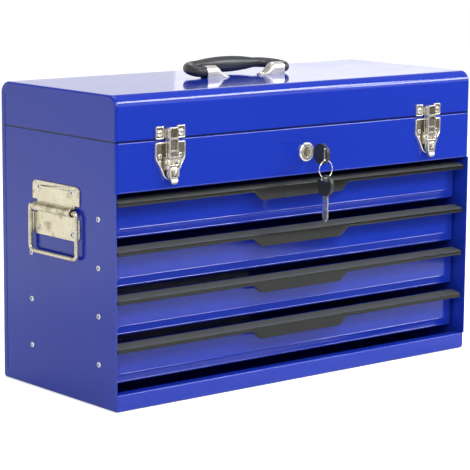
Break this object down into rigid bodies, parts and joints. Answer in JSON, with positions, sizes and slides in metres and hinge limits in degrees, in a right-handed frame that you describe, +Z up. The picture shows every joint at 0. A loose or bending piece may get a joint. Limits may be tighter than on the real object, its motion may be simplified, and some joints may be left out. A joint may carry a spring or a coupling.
{
  "type": "portable tool box with drawers",
  "caption": "Portable sheet-steel tool chest: hinged lid over a tray, full-width drawers on rails, draw latches, cam lock with keys, folding top handle and drop side handles.",
  "frame": {"origin": "middle of the flat underside of the case, where it stands", "axes": "+X to the right seen from the front, +Y from the drawers towards the back, +Z up"},
  "size_m": [0.5394, 0.2663, 0.3556],
  "materials": {
    "blue_paint": "glossy royal blue powder coat",
    "black_trim": "satin black",
    "zinc_steel": "bright zinc plate",
    "rivet_alloy": "plain",
    "nickel": "nickel plate",
    "yellow_zinc": "pale yellow zinc plate",
    "grip_black": "satin black",
    "key_black": "moulded black"
  },
  "bodies": {
    "cabinet": {"case_wrap": "blue_paint", "back_panel": "blue_paint", "front_panel": "blue_paint", "bottom_rail": "blue_paint", "tray_floor": "blue_paint", "case_hinge_leaf": "zinc_steel", "hinge_pin": "zinc_steel", "case_rails_1": "zinc_steel", "case_rails_2": "zinc_steel", "case_rails_3": "zinc_steel", "case_rails_4": "zinc_steel", "rail_rivets": "rivet_alloy", "side_plate_left": "yellow_zinc", "side_plate_right": "yellow_zinc", "plate_rivets": "rivet_alloy", "latch_base_left": "nickel", "latch_base_right": "nickel", "lock_body": "nickel", "lock_nut": "zinc_steel"},
    "lid": {"lid_shell": "blue_paint", "lid_end_left": "blue_paint", "lid_end_right": "blue_paint", "lid_hinge_leaf": "zinc_steel", "lock_catch": "zinc_steel", "strike_left": "nickel", "strike_right": "nickel", "strike_screws": "nickel", "handle_bracket_left": "nickel", "handle_bracket_right": "nickel", "bracket_rivets": "rivet_alloy"},
    "top_handle": {"handle_grip": "grip_black"},
    "drawer_1": {"drawer_box_1": "blue_paint", "drawer_front_1": "blue_paint", "drawer_trim_1": "black_trim", "drawer_rails_1": "zinc_steel"},
    "drawer_2": {"drawer_box_2": "blue_paint", "drawer_front_2": "blue_paint", "drawer_trim_2": "black_trim", "drawer_rails_2": "zinc_steel"},
    "drawer_3": {"drawer_box_3": "blue_paint", "drawer_front_3": "blue_paint", "drawer_trim_3": "black_trim", "drawer_rails_3": "zinc_steel"},
    "drawer_4": {"drawer_box_4": "blue_paint", "drawer_front_4": "blue_paint", "drawer_trim_4": "black_trim", "drawer_rails_4": "zinc_steel"},
    "latch_lever_left": {"latch_lever_left": "nickel"},
    "latch_claw_left": {"latch_claw_left": "nickel"},
    "latch_lever_right": {"latch_lever_right": "nickel"},
    "latch_claw_right": {"latch_claw_right": "nickel"},
    "lock": {"lock_plug": "nickel", "lock_cam": "zinc_steel", "key_blade": "nickel", "key_head": "key_black"},
    "key_ring": {"key_ring": "nickel"},
    "spare_key": {"spare_key_blade": "nickel", "spare_key_head": "key_black"},
    "side_bail_left": {"side_bail_left": "yellow_zinc"},
    "side_bail_right": {"side_bail_right": "yellow_zinc"}
  },
  "joints": [
    {"name": "lid_hinge", "type": "hinge", "parent": "cabinet", "child": "lid", "pos_m": [0, 0.1109, 0.2866], "axis": [-1, 0, 0], "range_deg": [0, 95]},
    {"name": "top_handle_hinge", "type": "hinge", "parent": "lid", "child": "top_handle", "pos_m": [0, 0, 0.3424], "axis": [1, 0, 0], "range_deg": [0, 166]},
    {"name": "drawer_1_slide", "type": "slide", "parent": "cabinet", "child": "drawer_1", "axis": [0, -1, 0], "range_m": [0, 0.15]},
    {"name": "drawer_2_slide", "type": "slide", "parent": "cabinet", "child": "drawer_2", "axis": [0, -1, 0], "range_m": [0, 0.15]},
    {"name": "drawer_3_slide", "type": "slide", "parent": "cabinet", "child": "drawer_3", "axis": [0, -1, 0], "range_m": [0, 0.15]},
    {"name": "drawer_4_slide", "type": "slide", "parent": "cabinet", "child": "drawer_4", "axis": [0, -1, 0], "range_m": [0, 0.15]},
    {"name": "latch_lever_left_hinge", "type": "hinge", "parent": "cabinet", "child": "latch_lever_left", "pos_m": [-0.19, -0.1125, 0.263], "axis": [-1, 0, 0], "range_deg": [0, 110]},
    {"name": "latch_claw_left_hinge", "type": "hinge", "parent": "latch_lever_left", "child": "latch_claw_left", "pos_m": [-0.19, -0.114, 0.255], "axis": [-1, 0, 0], "range_deg": [-110, 0]},
    {"name": "latch_lever_right_hinge", "type": "hinge", "parent": "cabinet", "child": "latch_lever_right", "pos_m": [0.19, -0.1125, 0.263], "axis": [-1, 0, 0], "range_deg": [0, 110]},
    {"name": "latch_claw_right_hinge", "type": "hinge", "parent": "latch_lever_right", "child": "latch_claw_right", "pos_m": [0.19, -0.114, 0.255], "axis": [-1, 0, 0], "range_deg": [-110, 0]},
    {"name": "lock_turn", "type": "hinge", "parent": "cabinet", "child": "lock", "pos_m": [0.0017, -0.108, 0.2584], "axis": [0, 1, 0], "range_deg": [0, 90]},
    {"name": "key_ring_swing", "type": "hinge", "parent": "lock", "child": "key_ring", "pos_m": [0.0017, -0.1412, 0.253], "axis": [-1, 0, 0], "range_deg": [0, 143]},
    {"name": "spare_key_swing", "type": "hinge", "parent": "key_ring", "child": "spare_key", "pos_m": [0.0017, -0.1412, 0.2313], "axis": [-1, 0, 0], "range_deg": [-6, 30]},
    {"name": "side_bail_left_hinge", "type": "hinge", "parent": "cabinet", "child": "side_bail_left", "pos_m": [-0.265, 0, 0.205], "axis": [0, 1, 0], "range_deg": [0, 90]},
    {"name": "side_bail_right_hinge", "type": "hinge", "parent": "cabinet", "child": "side_bail_right", "pos_m": [0.265, 0, 0.205], "axis": [0, -1, 0], "range_deg": [0, 90]}
  ],
  "couplings": [
    {"joint": "latch_claw_left_hinge", "follows": "latch_lever_left_hinge", "ratio": -1},
    {"joint": "latch_claw_right_hinge", "follows": "latch_lever_right_hinge", "ratio": -1},
    {"joint": "key_ring_swing", "follows": "drawer_1_slide", "rad_per_m": 16.6}
  ]
}
